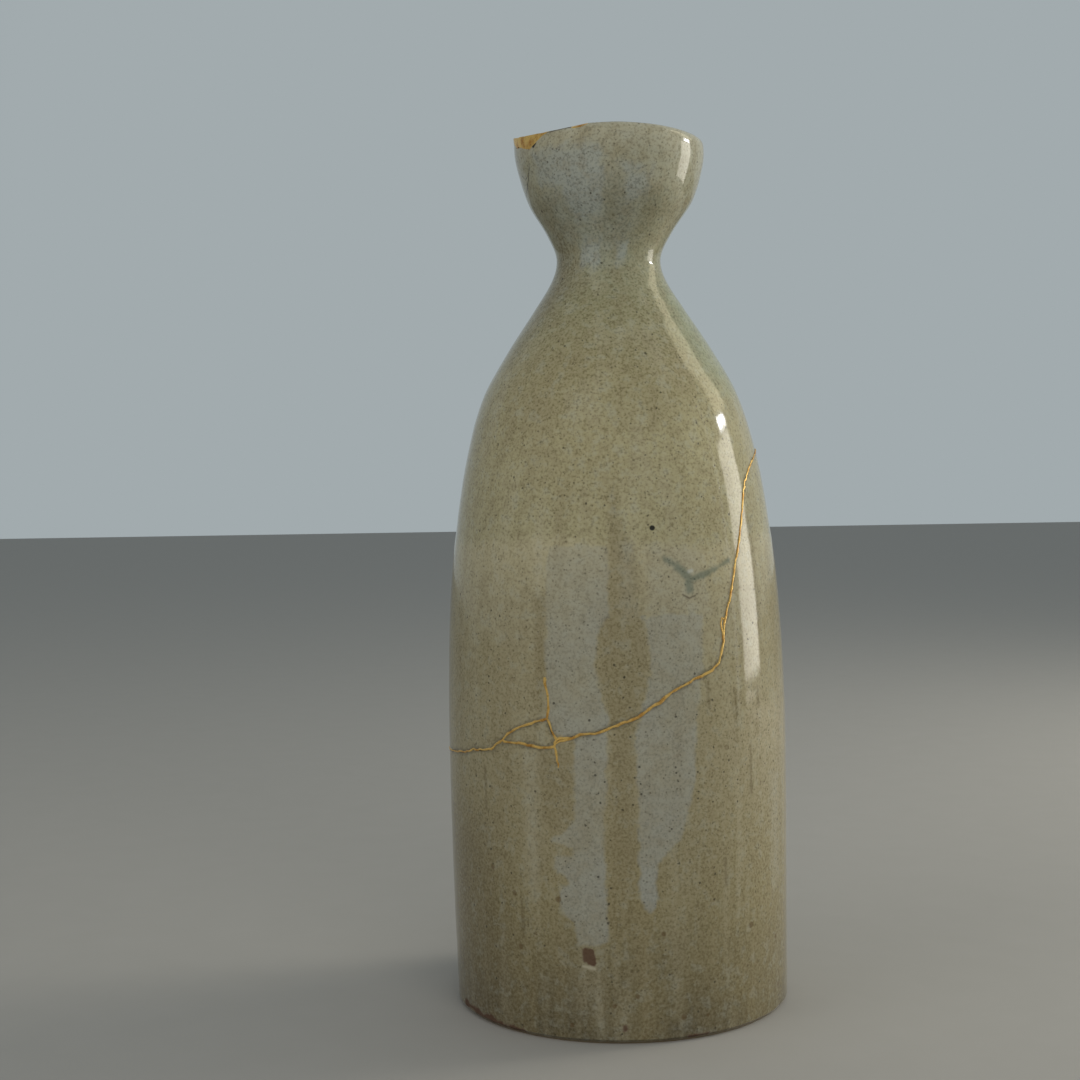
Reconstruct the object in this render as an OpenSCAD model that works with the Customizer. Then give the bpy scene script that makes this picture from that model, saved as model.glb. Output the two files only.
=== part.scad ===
// Stoneware sake bottle with a cup-shaped mouth, broken once and mended with lacquer and gold.
// Origin: centre of the foot, on the surface it stands on. +Z is up, along the axis of the wheel.
// A turn is an angle round the axis: 0 faces the front (-Y), and it grows towards +X.

/* [Bottle] */
// Height from the foot to the top of the lip
height = 270; // [255:1:285]
// Diameter of the belly at its widest
belly_d = 105.6; // [100:0.2:112]
// Diameter just above the foot
foot_d = 104; // [98:0.5:106]
// Diameter of the neck at its narrowest
neck_d = 32.6; // [31:0.2:36]
// Diameter of the mouth at its widest
mouth_d = 57.4; // [54:0.2:62]

/* [Walls] */
// Thickness of the belly's wall
belly_wall = 5; // [4:0.1:6]
// Thickness of the neck's wall
neck_wall = 4.6; // [4:0.1:5.4]
// Thickness of the floor
floor_t = 7; // [5:0.5:9]
// Radius of the corner between the floor and the wall, inside
floor_corner_r = 12; // [8:1:14]
// Radius of the lip's outer edge
lip_outer_r = 3.2; // [2.6:0.1:3.4]
// Radius of the lip's inner edge
lip_inner_r = 1.4; // [1:0.1:1.8]

/* [Foot] */
// Width of the ring that the bottle stands on
foot_ring_w = 8; // [6:0.5:12]
// Depth of the hollow inside the ring
foot_hollow = 2; // [1:0.5:3]
// Size of the bevel round the foot's outer edge
foot_bevel = 1.5; // [1:0.25:2]

/* [Repair] */
// Thickness of the lacquer glue between two sherds
seam_t = 0.7; // [0.5:0.1:1]
// Width of a gold line
gold_w = 1.1; // [0.8:0.1:1.5]
// Height of a gold line above the glaze
gold_rise = 0.25; // [0.2:0.05:0.4]
// Depth of the groove ground along a crack that stops
groove_depth = 0.5; // [0.3:0.1:1]
// Thickness of the gold skin over the putty in the lip
gold_skin = 0.4; // [0.3:0.1:0.6]

/* [Hidden] */
$fn = 180;

glaze_colour = "#898166";
chip_colour = "#7C7560";
glue_colour = "#3A2A1E";
gold_colour = "#B08A44";
putty_colour = "#5C3A28";

belly_r = belly_d / 2;
foot_r = foot_d / 2;
neck_r = neck_d / 2;
mouth_r = mouth_d / 2;
mouth_flare = mouth_r - neck_r;

// Outside of the wall as [height, radius], from the foot to the lip; a smooth curve joins them
PROFILE = [
    for (p = [[0, foot_r], [0.12, 0.994 * belly_r], [0.25, belly_r], [0.36, 0.998 * belly_r],
              [0.46, 0.975 * belly_r], [0.55, 0.928 * belly_r], [0.63, 0.86 * belly_r],
              [0.7, 0.754 * belly_r], [0.755, 0.595 * belly_r], [0.8, 0.443 * belly_r],
              [0.835, neck_r + 0.11 * mouth_flare], [0.86, neck_r],
              [0.888, neck_r + 0.26 * mouth_flare], [0.92, neck_r + 0.71 * mouth_flare],
              [0.955, mouth_r], [0.988, mouth_r - 0.4]])
    [p[0] * height, p[1]]
];
shoulder_z = 0.63 * height;   // the curve bends faster from here up
coarse_step = 7;
fine_step = 2.5;

// Where the bottle broke, as [turn, height] from corner to corner.
// The break runs once round the bottle: low on the left, high on the right.
RING_LEFT = [[-180, 118], [-171, 113], [-160, 107], [-149, 104], [-138, 95], [-126, 91],
             [-115, 84], [-103, 83], [-92, 79], [-80, 79.5], [-69.5, 80.5], [-60, 81.5],
             [-54.5, 83], [-49, 83.2], [-44.5, 84.2], [-42, 86], [-39.6, 87.2]];
RING_RIGHT = [[-18.8, 88.8], [-14, 89.4], [-6.5, 90.7], [-2, 92.3], [5, 94.5], [11.5, 98.2],
              [18, 102], [24.5, 104.7], [32.5, 107.6], [35.3, 109.5], [37.5, 116], [38.7, 122],
              [43, 132], [47, 141], [50.5, 148.3], [55, 158], [58, 162], [64, 166], [76, 170],
              [85, 171.5], [95, 170], [104, 165], [112, 162], [120, 153], [129, 148],
              [137, 139], [146, 136], [154, 128], [164, 125], [172, 119], [180, 118]];
// A small chip sits in the ring, left of the front: the break under it and the break over it
UNDER_CHIP = [[-35, 86.8], [-30.5, 86.7], [-26, 86.3], [-20.8, 86.4], [-19.8, 87.2]];
OVER_CHIP = [[-37, 89.3], [-33.2, 91.2], [-30, 92.3], [-22.4, 94.5], [-21, 92], [-20, 90.2]];
// The gold line over the chip starts and ends at the edge of the line round the bottle
OVER_LINE_START = [-38.2, 88.4];
OVER_LINE_END = [-19.5, 89.6];
// Two short cracks run out of the ring and stop
UPPER_SPUR = [[-22.1, 95.4], [-21.6, 97.5], [-21.8, 100.2], [-22.4, 103.6], [-22.9, 106.3]];
LOWER_SPUR = [[-19.7, 86], [-19.3, 84.6], [-18.9, 82.5], [-18.6, 80.5]];
// The two pieces lost from the lip, as [turn, depth below the top]
LIP_LOSS = [[-104, 1.3], [-96, 2.6], [-86, 3.6], [-74, 4], [-66, 5], [-58, 6.6],
            [-54, 6.4], [-50, 4.6], [-46.5, 3], [-42, 2.2], [-38, 1.3]];
RIM_LOSS = [[-24.5, 1], [-21, 1.7], [-17.5, 1.7], [-14, 1]];

crack_step = 4;       // longest straight stretch of a break
mm_per_degree = 0.87; // along the belly, at the height of the break
clear = 2;            // how far a cutting shape stands off the wall
core_r = 25;          // inner radius of the break face's outer part, well inside the wall
top_z = height + 10;

// --- curves -----------------------------------------------------------------

function slope(i) =
    let (a = PROFILE[max(i - 1, 0)], b = PROFILE[min(i + 1, len(PROFILE) - 1)])
    (b[1] - a[1]) / (b[0] - a[0]);

// Outer radius of the bottle at height z: a cubic between two points of PROFILE
function outer_r(z) =
    let (i = max([for (k = [0 : len(PROFILE) - 2]) if (k == 0 || PROFILE[k][0] <= z) k]),
         span = PROFILE[i + 1][0] - PROFILE[i][0],
         t = (z - PROFILE[i][0]) / span)
    (1 + 2 * t) * pow(1 - t, 2) * PROFILE[i][1] + t * pow(1 - t, 2) * span * slope(i)
    + t * t * (3 - 2 * t) * PROFILE[i + 1][1] + t * t * (t - 1) * span * slope(i + 1);

function wall_t(z) =
    lookup(z / height, [[0, belly_wall + 1], [0.25, belly_wall], [0.7, belly_wall],
                        [0.86, neck_wall], [0.98, lip_outer_r + lip_inner_r]]);

function left_of(a, b) = [a[1] - b[1], b[0] - a[0]] / norm(b - a);

// A path moved sideways, to its left, by the distance d or by one distance for each point
function moved(path, d, closed = false) = [
    for (i = [0 : len(path) - 1])
    let (n = len(path),
         first = i == 0 && !closed,
         last = i == n - 1 && !closed,
         here = path[i],
         n1 = left_of(path[first ? 0 : (i + n - 1) % n], first ? path[1] : here),
         n2 = last ? n1 : left_of(here, path[(i + 1) % n]))
    here + (is_list(d) ? d[i] : d) * (n1 + n2) / (1 + n1 * n2)
];

// A break's edge, d above the middle of its seam
function seam_edge(path, d) =
    [for (p = moved([for (q = path) [q[0] * mm_per_degree, q[1]]], d)) [p[0] / mm_per_degree, p[1]]];

// The same path with long stretches cut into equal short ones
function finer(path) = concat([path[0]], [
    for (i = [1 : len(path) - 1])
    let (a = path[i - 1], b = path[i],
         n = ceil(norm([(b[0] - a[0]) * mm_per_degree, b[1] - a[1]]) / crack_step))
    for (k = [1 : n]) a + (b - a) * k / n
]);

// A closed ring keeps one of its two ends
function open_end(path) = [for (i = [0 : len(path) - 2]) path[i]];

// A closed ring moved by d, with its neighbours across the back taken into account
function ring_edge(path, d) =
    let (n = len(path),
         full = concat([path[n - 2] - [360, 0]], path, [path[1] + [360, 0]]),
         edge = seam_edge(full, d))
    [for (i = [1 : n - 1]) edge[i]];

function at(turn, r, z) = [r * sin(turn), -r * cos(turn), z];

// --- sections of the bottle --------------------------------------------------

lip_z = height - lip_outer_r;
WALL_Z = concat([for (z = [foot_bevel : coarse_step : shoulder_z]) z],
                [for (z = [shoulder_z : fine_step : lip_z - 1]) z], [lip_z]);
OUTSIDE = [for (z = WALL_Z) [outer_r(z), z]];
lip_mid_r = outer_r(lip_z) - lip_outer_r;
LIP_OUTSIDE = [for (a = [15 : 15 : 90]) [lip_mid_r + lip_outer_r * cos(a), lip_z + lip_outer_r * sin(a)]];
LIP_INSIDE = [for (a = [105 : 25 : 180])
              [lip_mid_r + lip_inner_r * cos(a), height - lip_inner_r + lip_inner_r * sin(a)]];
inside_bottom = floor_t + floor_corner_r;
INSIDE_ALL = moved(OUTSIDE, [for (z = WALL_Z) wall_t(z)]);
INSIDE = [for (p = INSIDE_ALL) if (p[1] > inside_bottom + 1 && p[1] < height - lip_inner_r - 1) p];
floor_mid_r = outer_r(inside_bottom) - wall_t(inside_bottom) - floor_corner_r;
FLOOR_CORNER = [for (a = [0 : -15 : -90])
                [floor_mid_r + floor_corner_r * cos(a), inside_bottom + floor_corner_r * sin(a)]];
FOOT = [[0, foot_hollow], [foot_r - foot_bevel - foot_ring_w - foot_hollow, foot_hollow],
        [foot_r - foot_bevel - foot_ring_w, 0], [foot_r - foot_bevel, 0]];

function backwards(path) = [for (i = [len(path) - 1 : -1 : 0]) path[i]];
function above(path, z) = [for (p = path) if (p[1] > z) p];

// The whole bottle before it broke
module pot() {
    rotate_extrude()
        polygon(concat(FOOT, OUTSIDE, LIP_OUTSIDE, LIP_INSIDE, backwards(INSIDE),
                       FLOOR_CORNER, [[0, floor_t]]));
}

// The mouth's rim alone, made smaller all over by d
module rim(d) {
    rim_z = 0.93 * height;
    rotate_extrude()
        polygon(moved(concat(above(OUTSIDE, rim_z), LIP_OUTSIDE, LIP_INSIDE,
                             backwards(above(INSIDE, rim_z))), d, true));
}

// --- cutting shapes ----------------------------------------------------------

// Everything above a ring-shaped break
module above_ring(ring) {
    n = len(ring);
    low = [for (p = ring) at(p[0], core_r, p[1])];
    edge = [for (p = ring) at(p[0], outer_r(p[1]) + clear, p[1])];
    top = [for (p = ring) at(p[0], outer_r(p[1]) + clear, top_z)];
    polyhedron(concat(low, edge, top, [[0, 0, ring[0][1]], [0, 0, top_z]]), [
        for (i = [0 : n - 1])
        let (j = (i + 1) % n)
        each [[3 * n, i, j], [i, n + i, n + j], [i, n + j, j],
              [n + i, 2 * n + i, 2 * n + j, n + j], [3 * n + 1, 2 * n + j, 2 * n + i]]
    ]);
}

// The space between two breaks that share their turns, through the wall from r_in to r_out
module between(low, high, r_in, r_out) {
    n = len(low);
    polyhedron(concat([for (p = low) at(p[0], r_in, p[1])], [for (p = low) at(p[0], r_out, p[1])],
                      [for (p = high) at(p[0], r_out, p[1])], [for (p = high) at(p[0], r_in, p[1])]),
        concat([[0, 3 * n, 2 * n, n], [2 * n - 1, 3 * n - 1, 4 * n - 1, n - 1]], [
            for (i = [0 : n - 2])
            let (j = i + 1)
            each [[i, n + i, n + j], [i, n + j, j],
                  [n + i, 2 * n + i, 2 * n + j], [n + i, 2 * n + j, n + j],
                  [3 * n + i, 3 * n + j, 2 * n + j], [3 * n + i, 2 * n + j, 2 * n + i],
                  [i, j, 3 * n + j], [i, 3 * n + j, 3 * n + i]]
        ]));
}

// A bar that follows a path on the outer surface. Its section is a list of [share of the
// line's width, share of its rise], where 0 is the middle of the line and the glaze's surface.
ON_THE_GLAZE = [[0.5, 0], [0.25, 1], [-0.25, 1], [-0.5, 0]];
IN_A_GROOVE = [[0.5, 0], [0.25, 1], [-0.25, 1], [-0.5, 0], [0, -groove_depth / gold_rise]];

module gold_bar(path, section, closed = false) {
    n = len(path);
    m = len(section);
    spine = [for (p = path) at(p[0], outer_r(p[1]), p[1])];
    rings = [
        for (i = [0 : n - 1])
        let (before = closed ? spine[(i + n - 1) % n] : spine[max(i - 1, 0)],
             after = closed ? spine[(i + 1) % n] : spine[min(i + 1, n - 1)],
             lean = (outer_r(path[i][1] + 1) - outer_r(path[i][1] - 1)) / 2,
             face = at(path[i][0], 1, -lean),
             side = cross(after - before, face) / norm(cross(after - before, face)),
             out = face / norm(face))
        for (p = section) spine[i] + side * gold_w * p[0] + out * gold_rise * p[1]
    ];
    segments = closed ? n : n - 1;
    ends = closed ? [] : [[for (k = [0 : m - 1]) k], [for (k = [m - 1 : -1 : 0]) m * (n - 1) + k]];
    polyhedron(rings, concat(ends, [
        for (i = [0 : segments - 1], k = [0 : m - 1])
        let (a = m * i + k, b = m * i + (k + 1) % m,
             c = m * ((i + 1) % n) + (k + 1) % m, d = m * ((i + 1) % n) + k)
        each [[a, d, c], [a, c, b]]
    ]));
}

// --- the breaks --------------------------------------------------------------

LOW_RING = finer(concat(RING_LEFT, UNDER_CHIP, RING_RIGHT));
HIGH_RING = finer(concat(RING_LEFT, OVER_CHIP, RING_RIGHT));
half_seam = seam_t / 2;

// The chip's turns, and the height of an edge at each of them
CHIP_TURNS = [-37.4, -35, -33.2, -30, -26, -22.6, -21.9, -21.1];
function chip_edge(path, d) =
    let (edge = seam_edge(path, d))
    [for (turn = CHIP_TURNS) [turn, lookup(turn, edge)]];

module chip_space(low, high) {
    between(low, high, core_r, belly_r + clear);
}

module lip_loss(loss, r_in) {
    between([for (p = loss) [p[0], height - p[1]]], [for (p = loss) [p[0], top_z]],
            r_in, mouth_r + clear);
}

// --- sherds ------------------------------------------------------------------

module lower_sherd() {
    color(glaze_colour)
    difference() {
        pot();
        above_ring(ring_edge(LOW_RING, -half_seam));
        gold_bar(LOWER_SPUR, IN_A_GROOVE);
    }
}

module upper_sherd() {
    color(glaze_colour)
    difference() {
        intersection() {
            pot();
            above_ring(ring_edge(HIGH_RING, half_seam));
        }
        lip_loss(LIP_LOSS, neck_r);
        lip_loss(RIM_LOSS, lip_mid_r);
        gold_bar(UPPER_SPUR, IN_A_GROOVE);
    }
}

module chip_sherd() {
    color(chip_colour)
    intersection() {
        pot();
        chip_space(chip_edge(LOW_RING, half_seam), chip_edge(HIGH_RING, -half_seam));
    }
}

// --- lacquer glue in the breaks ------------------------------------------------

module ring_glue() {
    color(glue_colour)
    difference() {
        intersection() {
            pot();
            above_ring(ring_edge(LOW_RING, -half_seam));
        }
        above_ring(ring_edge(LOW_RING, half_seam));
    }
}

module chip_glue() {
    color(glue_colour)
    intersection() {
        pot();
        chip_space(chip_edge(HIGH_RING, -half_seam), chip_edge(HIGH_RING, half_seam));
    }
}

// --- gold lines over the glue --------------------------------------------------

module ring_gold_line() {
    color(gold_colour)
    gold_bar(open_end(LOW_RING), ON_THE_GLAZE, closed = true);
}

module chip_gold_line() {
    color(gold_colour)
    gold_bar(finer(concat([OVER_LINE_START], OVER_CHIP, [OVER_LINE_END])), ON_THE_GLAZE);
}

module upper_spur_gold_line() {
    color(gold_colour)
    gold_bar(UPPER_SPUR, IN_A_GROOVE);
}

module lower_spur_gold_line() {
    color(gold_colour)
    gold_bar(LOWER_SPUR, IN_A_GROOVE);
}

// --- fills in the lip ----------------------------------------------------------

module lip_putty() {
    color(putty_colour)
    intersection() {
        rim(gold_skin);
        lip_loss(LIP_LOSS, neck_r);
    }
}

module lip_gold() {
    color(gold_colour)
    difference() {
        intersection() {
            rim(0);
            lip_loss(LIP_LOSS, neck_r);
        }
        rim(gold_skin);
    }
}

module rim_patch_gold() {
    color(gold_colour)
    intersection() {
        rim(0);
        lip_loss(RIM_LOSS, lip_mid_r);
    }
}

lower_sherd();
upper_sherd();
chip_sherd();
ring_glue();
chip_glue();
ring_gold_line();
chip_gold_line();
upper_spur_gold_line();
lower_spur_gold_line();
lip_putty();
lip_gold();
rim_patch_gold();
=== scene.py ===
# %% [markdown]
# # A stoneware sake bottle mended with gold
#
# The bottle was thrown on a wheel, dipped in ash glaze, broken, glued with lacquer and
# finished with gold dust over the seams. This lesson builds it the same way: one pot is
# turned, it is cut along its breaks, and the glue, the gold lines and the fills in the lip
# are made to fit the cuts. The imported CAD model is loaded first. It is the frame that says
# how big the bottle is and where its pieces are.

# %% Load the frame
import math

import bmesh
import bpy
import numpy as np
from mathutils import Matrix, Vector, bvhtree, kdtree, noise


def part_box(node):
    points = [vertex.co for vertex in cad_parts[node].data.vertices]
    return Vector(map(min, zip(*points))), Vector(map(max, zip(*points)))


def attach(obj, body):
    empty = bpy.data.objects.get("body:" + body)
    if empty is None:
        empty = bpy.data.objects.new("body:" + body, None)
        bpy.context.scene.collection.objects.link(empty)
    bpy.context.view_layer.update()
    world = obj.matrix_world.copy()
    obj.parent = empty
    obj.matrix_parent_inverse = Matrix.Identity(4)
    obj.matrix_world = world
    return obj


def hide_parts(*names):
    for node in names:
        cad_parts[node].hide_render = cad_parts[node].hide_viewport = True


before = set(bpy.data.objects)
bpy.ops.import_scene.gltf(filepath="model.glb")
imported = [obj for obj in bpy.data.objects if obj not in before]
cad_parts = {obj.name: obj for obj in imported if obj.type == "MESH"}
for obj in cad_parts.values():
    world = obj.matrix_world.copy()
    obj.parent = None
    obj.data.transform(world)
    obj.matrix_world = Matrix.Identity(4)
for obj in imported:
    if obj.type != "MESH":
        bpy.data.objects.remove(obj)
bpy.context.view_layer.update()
print("nodes in the frame:", sorted(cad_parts))

# %% [markdown]
# ## Units and places
#
# Blender works in metres, and a potter thinks in millimetres, so every size below is in
# millimetres and is multiplied by MM when it becomes geometry. A place on the wall is given
# as a turn and a height. A turn is an angle round the axis in degrees: 0 faces the front
# (-Y) and it grows towards +X. It is much easier to think of a crack or a run of glaze in
# turns and heights than in X, Y and Z.

# %% Units and places
MM = 0.001
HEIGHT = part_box("upper_sherd")[1].z / MM
BELLY_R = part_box("lower_sherd")[1].y / MM
NECK_R = 16.3
MOUTH_R = 28.7
FOOT_R = 52.0


def at(turn, radius, height):
    """A point in metres from a turn in degrees, a radius and a height in millimetres."""
    angle = math.radians(turn)
    return Vector((radius * math.sin(angle), -radius * math.cos(angle), height)) * MM


def turn_of(point):
    return math.degrees(math.atan2(point.x, -point.y))


print(f"height {HEIGHT:.1f} mm, belly radius {BELLY_R:.1f} mm")

# %% [markdown]
# ## The camera
#
# The bottle is seen from a little above its middle, from just over half a metre away, with a
# normal lens. The camera looks slightly down and slightly to the left, and it is held one
# degree off level.

# %% The camera
CAMERA_AWAY = 536.9
CAMERA_UP = 167.0
LENS = 56.67
SENSOR = 36.0
LOOK_LEFT = 2.55
LOOK_DOWN = 2.43
TILT = -1.0


def new_object(name, data):
    made = bpy.data.objects.new(name, data)
    bpy.context.scene.collection.objects.link(made)
    return made


camera_data = bpy.data.cameras.new("camera")
camera_data.lens = LENS
camera_data.sensor_width = SENSOR
camera = new_object("camera", camera_data)
camera.matrix_world = (
    Matrix.Translation(Vector((0, -CAMERA_AWAY, CAMERA_UP)) * MM)
    @ Matrix.Rotation(math.radians(LOOK_LEFT), 4, "Z")
    @ Matrix.Rotation(math.radians(90 - LOOK_DOWN), 4, "X")
    @ Matrix.Rotation(math.radians(TILT), 4, "Z")
)
bpy.context.scene.camera = camera
print("camera at", [round(v, 3) for v in camera.matrix_world.translation])

# %% [markdown]
# ## The outline of the wall
#
# A thrown pot is a turned shape, so one outline describes it. The outline passes through a
# few heights where the radius is known, and a cubic curve joins them smoothly. The inside is
# the outside moved inwards by the thickness of the wall. The lip is rounded with a large
# radius outside and a small one inside, as a wet leather strip leaves it.

# %% The outline of the wall
FLARE = MOUTH_R - NECK_R
OUTLINE = [
    (share * HEIGHT, radius)
    for share, radius in (
        (0, FOOT_R), (0.12, 0.994 * BELLY_R), (0.25, BELLY_R), (0.36, 0.998 * BELLY_R),
        (0.46, 0.975 * BELLY_R), (0.55, 0.928 * BELLY_R), (0.63, 0.86 * BELLY_R),
        (0.7, 0.754 * BELLY_R), (0.755, 0.595 * BELLY_R), (0.8, 0.443 * BELLY_R),
        (0.835, NECK_R + 0.11 * FLARE), (0.86, NECK_R), (0.888, NECK_R + 0.26 * FLARE),
        (0.92, NECK_R + 0.71 * FLARE), (0.94, MOUTH_R - 1.4), (0.957, MOUTH_R - 0.3),
        (0.968, MOUTH_R + 0.2), (0.98, MOUTH_R + 0.47), (0.988, MOUTH_R + 0.39),
    )
]


def slope_at(i):
    """The outline's slope at one of its points, from its two neighbours."""
    below = OUTLINE[max(i - 1, 0)]
    over = OUTLINE[min(i + 1, len(OUTLINE) - 1)]
    return (over[1] - below[1]) / (over[0] - below[0])


def outer_radius(height):
    """Radius of the outer wall at a height: a cubic between two points of the outline."""
    i = max([k for k in range(len(OUTLINE) - 1) if OUTLINE[k][0] <= height] or [0])
    (z0, r0), (z1, r1) = OUTLINE[i], OUTLINE[i + 1]
    span = z1 - z0
    t = (height - z0) / span
    return (
        (1 + 2 * t) * (1 - t) ** 2 * r0 + t * (1 - t) ** 2 * span * slope_at(i)
        + t * t * (3 - 2 * t) * r1 + t * t * (t - 1) * span * slope_at(i + 1)
    )


def along(table, x):
    """Straight lines between the points of a short table."""
    for (x0, y0), (x1, y1) in zip(table, table[1:]):
        if x <= x1:
            return y0 + (y1 - y0) * max(0.0, min(1.0, (x - x0) / (x1 - x0)))
    return table[-1][1]


LIP_OUTER_R = 3.2
LIP_INNER_R = 1.4
LIP_Z = HEIGHT - LIP_OUTER_R
LIP_MID_R = outer_radius(LIP_Z) - LIP_OUTER_R
FLOOR = 7.0
FLOOR_CORNER_R = 12.0
FOOT_BEVEL = 1.5
FOOT_RING = 8.0
FOOT_HOLLOW = 2.0
WALL = [(0, 6.0), (68, 5.0), (189, 5.0), (232, 4.6), (265, LIP_OUTER_R + LIP_INNER_R)]


def rise_at(height):
    """How much the outer wall widens over the millimetre round a height."""
    return outer_radius(height + 0.5) - outer_radius(height - 0.5)


def inner_point(height):
    """The point on the inner wall that faces the outer wall at this height."""
    rise = rise_at(height)
    thick = along(WALL, height) / math.hypot(1, rise)
    return (outer_radius(height) - thick, height + thick * rise)


print(f"neck {2 * outer_radius(0.86 * HEIGHT):.1f} mm across, lip at {LIP_MID_R:.1f} mm")

# %% [markdown]
# ## Turning the pot
#
# The outline becomes a chain of vertices, and the spin operator carries it round the axis,
# as the wheel does. use_merge closes the last step onto the first. Spinning can leave the
# faces inside out, and the points on the axis pile up, so doubles are merged first and the
# normals are recalculated after that. The steps are fine enough that small dents from the
# potter's fingers can be moved into the mesh later.

# %% Turning the pot
TURN_STEPS = 360
ROW = 1.2
INNER_ROW = 4.0
FOOT_ROW = 6
OUTER_LIP_STEPS = 6
INNER_LIP_STEPS = 4
FLOOR_CORNER_STEPS = 8


def steps_between(low, high, size):
    count = max(1, round((high - low) / size))
    return [low + (high - low) * i / count for i in range(count + 1)]


def arc(middle, radius, first, last, count):
    """Points of an arc, in degrees from first to last, both ends left out."""
    angles = [math.radians(first + (last - first) * i / count) for i in range(1, count)]
    return [(middle[0] + radius * math.cos(a), middle[1] + radius * math.sin(a)) for a in angles]


def pot_section():
    """The wall's section, from the middle of the foot round the lip to the middle inside."""
    ring_out = FOOT_R - FOOT_BEVEL
    ring_in = ring_out - FOOT_RING
    foot = [(r, FOOT_HOLLOW) for r in steps_between(0, ring_in - FOOT_HOLLOW, FOOT_ROW)]
    foot += [(r, 0) for r in steps_between(ring_in, ring_out, 1)]
    outside = [(outer_radius(z), z) for z in steps_between(FOOT_BEVEL, LIP_Z, ROW)]
    lip = arc((LIP_MID_R, LIP_Z), LIP_OUTER_R, 0, 90, OUTER_LIP_STEPS)
    lip += [(LIP_MID_R, HEIGHT)]
    lip += arc((LIP_MID_R, HEIGHT - LIP_INNER_R), LIP_INNER_R, 90, 180, INNER_LIP_STEPS)
    corner_z = FLOOR + FLOOR_CORNER_R
    inside = [inner_point(z) for z in steps_between(corner_z, LIP_Z - 2, INNER_ROW)]
    inside = [p for p in inside if p[1] < HEIGHT - LIP_INNER_R - 1]
    corner_r = inside[0][0] - FLOOR_CORNER_R
    floor = arc((corner_r, inside[0][1]), FLOOR_CORNER_R, 0, -90, FLOOR_CORNER_STEPS)
    floor_z = inside[0][1] - FLOOR_CORNER_R
    floor += [(r, floor_z) for r in reversed(steps_between(0, corner_r, 2 * INNER_ROW))]
    return foot + outside + lip + inside[::-1] + floor


def turned(section, steps=TURN_STEPS):
    """A bmesh made by turning a section, in millimetres, round the axis."""
    bm = bmesh.new()
    verts = [bm.verts.new((r * MM, 0, z * MM)) for r, z in section]
    edges = [bm.edges.new(pair) for pair in zip(verts, verts[1:])]
    bmesh.ops.spin(bm, geom=verts + edges, cent=(0, 0, 0), axis=(0, 0, 1),
                   angle=math.tau, steps=steps, use_merge=True)
    bmesh.ops.remove_doubles(bm, verts=bm.verts, dist=1e-7)
    bmesh.ops.recalc_face_normals(bm, faces=bm.faces)
    return bm


def to_object(bm, name):
    """Puts a bmesh into a new object at the origin."""
    mesh = bpy.data.meshes.new(name)
    bm.to_mesh(mesh)
    bm.free()
    return new_object(name, mesh)


pot = turned(pot_section())
print(f"the turned pot has {len(pot.faces)} faces")

# %% [markdown]
# ## A hand-thrown wall isn't perfect
#
# The axis of a thrown pot wanders by about a millimetre, its rings aren't quite round, and
# the fingers leave soft ridges. The reflections on the glaze show all of this, so it is real
# geometry here and not only bump. The cup was pulled out a little on its left side, where
# its lip was trimmed to a square edge, and the rim dips between there and the front. Where
# the second dip of glaze ends, it stands a little proud of the first. Round the foot the
# edge is worn.

# %% A hand-thrown wall
AXIS_WANDER = [(0, 0), (70, -0.6), (140, -0.9), (190, -1.2), (231, -1.0), (250, -0.1),
               (262, 0.1), (270, 0.1)]
WOBBLE = 0.22
WOBBLE_TALL = 55
RIDGE = 0.06
RIDGE_TALL = 7
GLAZE_LINE = 145.2
GLAZE_STEP = 0.1
FOOT_WEAR = 0.5
FOOT_EDGE = 3.5
LIP_PUSH = 1.1
LIP_PUSH_TURN = -88
PUSHED_FROM = 0.935 * HEIGHT
DIPPED = (0.95 * HEIGHT, 0.985 * HEIGHT)
RIM_DIP = [(-100, 0), (-88, 0.1), (-83, 0.45), (-71, 1.5), (-60, 1.9), (-46, 1.8), (-34, 1.6),
           (-24, 1.25), (-13, 0.6), (6, 0.5), (29, 0.85), (45, 1.2), (60, 1.5), (75, 1.5), (115, 0)]
SQUARE_LIP = [(-118, 0), (-104, 0.9), (-97, 1), (-66, 1), (-48, 0.5), (-34, 0.15), (-13, 0.1),
              (0, 0)]


def smooth_step(low, high, x):
    t = max(0.0, min(1.0, (x - low) / (high - low)))
    return t * t * (3 - 2 * t)


def by_hand(around, height):
    """How far in millimetres the wall stands out at a direction from the axis and a height."""
    slow = noise.noise(Vector((around.x * 1.3, around.y * 1.3, height / WOBBLE_TALL)))
    ridge = noise.noise(Vector((around.x * 0.5 + 7, around.y * 0.5, height / RIDGE_TALL)))
    step = 1 - smooth_step(GLAZE_LINE - 0.8, GLAZE_LINE + 0.8, height)
    pulled = math.cos(math.radians((turn_of(around) - LIP_PUSH_TURN) / 2)) ** 6
    pulled *= smooth_step(PUSHED_FROM, HEIGHT, height)
    return WOBBLE * slow + RIDGE * ridge + GLAZE_STEP * step + LIP_PUSH * pulled


def square_the_lip(bm):
    """Moves the lip's rounding out towards the square that it fits in."""
    for v in bm.verts:
        radius = math.hypot(v.co.x, v.co.y) / MM
        out = (radius - LIP_MID_R) / LIP_OUTER_R
        up = (v.co.z / MM - LIP_Z) / LIP_OUTER_R
        if out > 0 and up > 0:
            corner = math.hypot(out, up) / max(out, up)
            grow = 1 + along(SQUARE_LIP, turn_of(v.co)) * (corner - 1)
            share = (LIP_MID_R + out * grow * LIP_OUTER_R) / radius
            v.co = (v.co.x * share, v.co.y * share, (LIP_Z + up * grow * LIP_OUTER_R) * MM)


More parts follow.
